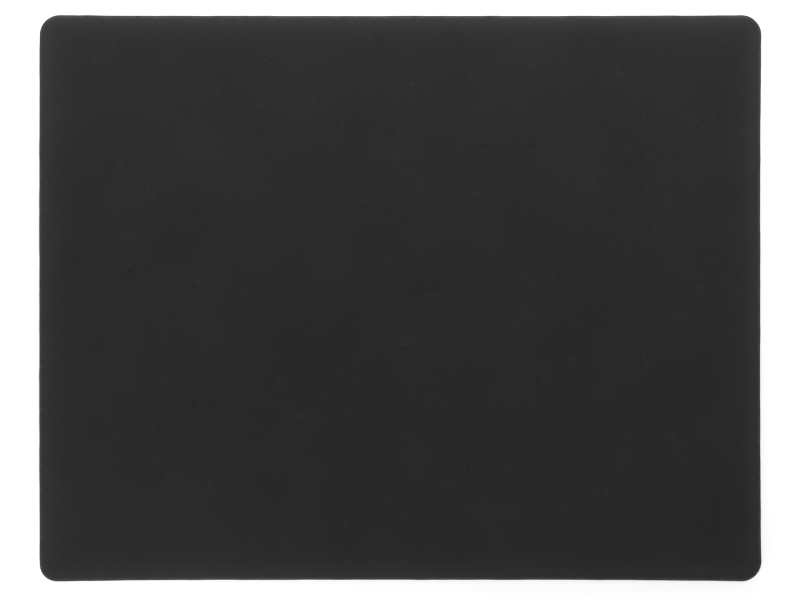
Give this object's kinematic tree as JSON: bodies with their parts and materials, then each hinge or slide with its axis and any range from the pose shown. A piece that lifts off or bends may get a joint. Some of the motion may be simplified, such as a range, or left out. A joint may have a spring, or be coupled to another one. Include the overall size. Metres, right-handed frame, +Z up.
{
  "type": "mouse pad",
  "caption": "Thin rectangular mouse pad with rounded corners: a soft cloth face bonded to a foamed rubber base with a wavy non-slip underside.",
  "frame": {"origin": "on the surface that the pad lies on, under the middle of its outline", "axes": "+X along the long side, to the right of a person using it; +Y towards the back edge; +Z up, out of the cloth face"},
  "size_m": [0.2301, 0.1806, 0.003],
  "materials": {
    "foamed_rubber": "matte, fine closed cells",
    "adhesive_film": "satin, seen only as a line along the cut edge",
    "knitted_cloth": "matte, fine knit"
  },
  "bodies": {
    "root": {"foam_base": "foamed_rubber", "bond_film": "adhesive_film", "cloth_top": "knitted_cloth"}
  },
  "joints": []
}
